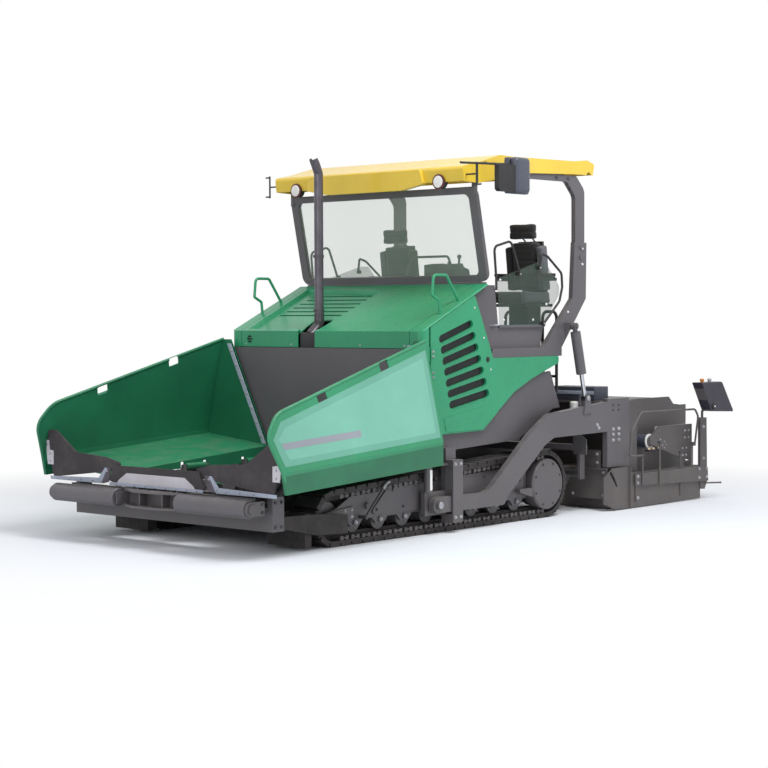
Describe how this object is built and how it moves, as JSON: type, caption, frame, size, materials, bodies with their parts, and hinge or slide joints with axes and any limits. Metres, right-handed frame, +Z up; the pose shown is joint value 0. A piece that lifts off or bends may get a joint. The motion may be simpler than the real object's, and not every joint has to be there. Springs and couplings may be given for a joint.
{
  "type": "tracked asphalt paver",
  "caption": "Tracked asphalt paver: folding material hopper, conveyors and augers, louvred engine housing, roofed operator's stand and a towed extending screed.",
  "frame": {"origin": "on the ground under the middle of the overall box", "axes": "+X forward to the hopper, +Y to the machine's left, +Z up"},
  "size_m": [7.0599, 3.52, 3.6371],
  "materials": {
    "green_paint": "satin green enamel on sheet steel",
    "yellow_paint": "gloss yellow moulded shell",
    "grey_paint": "satin dark grey enamel on steel plate",
    "screed_paint": "brownish grey enamel on steel",
    "dark_paint": "matt black enamel",
    "track_steel": "dark rolled steel",
    "worn_steel": "worn steel",
    "chrome": "polished rod",
    "rubber": "thick conveyor rubber",
    "seat_fabric": "black woven cloth with grey bolsters",
    "glass": "pale green tinted pane"
  },
  "bodies": {
    "tractor": {"auger_case": "grey_paint", "centre_flap": "rubber", "chassis": "grey_paint", "console": "dark_paint", "conveyors": "worn_steel", "cross_members": "grey_paint", "deflectors": "track_steel", "engine": "dark_paint", "exhaust": "dark_paint", "final_drives": "grey_paint", "frame_floor": "grey_paint", "front_beam": "grey_paint", "front_plate": "grey_paint", "handrails": "dark_paint", "ladder": "dark_paint", "levelling_cylinders": "grey_paint", "platform": "grey_paint", "rear_panel_left": "green_paint", "rear_panel_right": "green_paint", "roof": "yellow_paint", "roof_fittings": "dark_paint", "roof_posts": "grey_paint", "seat_cushion_left": "seat_fabric", "seat_cushion_right": "seat_fabric", "seat_frames": "dark_paint", "shoulder_left": "green_paint", "shoulder_right": "green_paint", "side_glass": "glass", "side_panel_left": "grey_paint", "side_panel_right": "grey_paint", "track_frames": "grey_paint", "track_left": "track_steel", "track_right": "track_steel", "windscreen_frame": "dark_paint", "windscreen_glass": "glass", "wing_hinges": "grey_paint"},
    "wing_left": {"wing_left": "green_paint", "wing_flap_left": "rubber"},
    "wing_right": {"wing_right": "green_paint", "wing_flap_right": "rubber"},
    "push_beam": {"push_beam": "grey_paint"},
    "push_roller_left": {"push_roller_left": "worn_steel"},
    "push_roller_right": {"push_roller_right": "worn_steel"},
    "hood": {"hood": "green_paint"},
    "door_left": {"door_left": "green_paint"},
    "door_right": {"door_right": "green_paint"},
    "screed": {"screed": "screed_paint", "tow_arms": "grey_paint"},
    "extension_left": {"extension_left": "screed_paint"},
    "extension_right": {"extension_right": "screed_paint"},
    "auger_left": {"auger_left": "worn_steel"},
    "auger_right": {"auger_right": "worn_steel"},
    "wing_barrel_left": {"wing_barrel_left": "grey_paint"},
    "wing_barrel_right": {"wing_barrel_right": "grey_paint"},
    "wing_rod_left": {"wing_rod_left": "chrome"},
    "wing_rod_right": {"wing_rod_right": "chrome"},
    "lift_barrel_left": {"lift_barrel_left": "grey_paint"},
    "lift_barrel_right": {"lift_barrel_right": "grey_paint"},
    "lift_rod_left": {"lift_rod_left": "chrome"},
    "lift_rod_right": {"lift_rod_right": "chrome"}
  },
  "joints": [
    {"name": "wing_fold_left", "type": "hinge", "parent": "tractor", "child": "wing_left", "pos_m": [2.25, 0.66, 0.62], "axis": [1, 0, 0], "range_deg": [0, 45]},
    {"name": "wing_barrel_swing_left", "type": "hinge", "parent": "tractor", "child": "wing_barrel_left", "pos_m": [2.85, 0.85, 0.4], "axis": [1, 0, 0], "range_deg": [0, 40.76]},
    {"name": "wing_rod_stroke_left", "type": "slide", "parent": "wing_barrel_left", "child": "wing_rod_left", "axis": [0, 0.8555, 0.5178], "range_m": [0, 0.2192]},
    {"name": "wing_fold_right", "type": "hinge", "parent": "tractor", "child": "wing_right", "pos_m": [2.25, -0.66, 0.62], "axis": [-1, 0, 0], "range_deg": [0, 45]},
    {"name": "wing_barrel_swing_right", "type": "hinge", "parent": "tractor", "child": "wing_barrel_right", "pos_m": [2.85, -0.85, 0.4], "axis": [-1, 0, 0], "range_deg": [0, 40.76]},
    {"name": "wing_rod_stroke_right", "type": "slide", "parent": "wing_barrel_right", "child": "wing_rod_right", "axis": [0, -0.8555, 0.5178], "range_m": [0, 0.2192]},
    {"name": "push_beam_swing", "type": "hinge", "parent": "tractor", "child": "push_beam", "pos_m": [3.25, 0, 0.42], "axis": [0, 0, 1], "range_deg": [-4, 4]},
    {"name": "push_roller_spin_left", "type": "hinge", "parent": "push_beam", "child": "push_roller_left", "pos_m": [3.4475, 0.8445, 0.424], "axis": [0, 1, 0], "continuous": true},
    {"name": "push_roller_spin_right", "type": "hinge", "parent": "push_beam", "child": "push_roller_right", "pos_m": [3.4475, -0.8445, 0.424], "axis": [0, 1, 0], "continuous": true},
    {"name": "hood_open", "type": "hinge", "parent": "tractor", "child": "hood", "pos_m": [0.205, 0, 2.318], "axis": [0, -1, 0], "range_deg": [0, 50]},
    {"name": "door_open_left", "type": "hinge", "parent": "tractor", "child": "door_left", "pos_m": [1.07, 1.276, 1.589], "axis": [0, 0, -1], "range_deg": [0, 90]},
    {"name": "door_open_right", "type": "hinge", "parent": "tractor", "child": "door_right", "pos_m": [1.07, -1.276, 1.589], "axis": [0, 0, 1], "range_deg": [0, 90]},
    {"name": "screed_lift", "type": "hinge", "parent": "tractor", "child": "screed", "pos_m": [1.09, 0, 0.28], "axis": [0, 1, 0], "range_deg": [0, 5]},
    {"name": "lift_barrel_swing_left", "type": "hinge", "parent": "tractor", "child": "lift_barrel_left", "pos_m": [-1.11, 1.35, 1.93], "axis": [0, -1, 0], "range_deg": [0, 3.99]},
    {"name": "lift_rod_stroke_left", "type": "slide", "parent": "lift_barrel_left", "child": "lift_rod_left", "axis": [0.2363, 0, 0.9717], "range_m": [0, 0.2183]},
    {"name": "lift_barrel_swing_right", "type": "hinge", "parent": "tractor", "child": "lift_barrel_right", "pos_m": [-1.11, -1.35, 1.93], "axis": [0, -1, 0], "range_deg": [0, 3.99]},
    {"name": "lift_rod_stroke_right", "type": "slide", "parent": "lift_barrel_right", "child": "lift_rod_right", "axis": [0.2363, 0, 0.9717], "range_m": [0, 0.2183]},
    {"name": "extension_slide_left", "type": "slide", "parent": "screed", "child": "extension_left", "axis": [0, 1, 0], "range_m": [0, 1.2]},
    {"name": "auger_spin_left", "type": "hinge", "parent": "tractor", "child": "auger_left", "pos_m": [-1.42, 0.66, 0.4], "axis": [0, 1, 0], "continuous": true},
    {"name": "extension_slide_right", "type": "slide", "parent": "screed", "child": "extension_right", "axis": [0, -1, 0], "range_m": [0, 1.2]},
    {"name": "auger_spin_right", "type": "hinge", "parent": "tractor", "child": "auger_right", "pos_m": [-1.42, -0.66, 0.4], "axis": [0, 1, 0], "continuous": true}
  ],
  "couplings": [
    {"joint": "wing_barrel_swing_left", "follows": "wing_fold_left", "ratio": 0.90473},
    {"joint": "wing_rod_stroke_left", "follows": "wing_fold_left", "m_per_rad": 0.27852},
    {"joint": "wing_barrel_swing_right", "follows": "wing_fold_right", "ratio": 0.90473},
    {"joint": "wing_rod_stroke_right", "follows": "wing_fold_right", "m_per_rad": 0.27852},
    {"joint": "lift_barrel_swing_left", "follows": "screed_lift", "ratio": 0.79414},
    {"joint": "lift_rod_stroke_left", "follows": "screed_lift", "m_per_rad": 2.4955},
    {"joint": "lift_barrel_swing_right", "follows": "screed_lift", "ratio": 0.79414},
    {"joint": "lift_rod_stroke_right", "follows": "screed_lift", "m_per_rad": 2.4955}
  ]
}
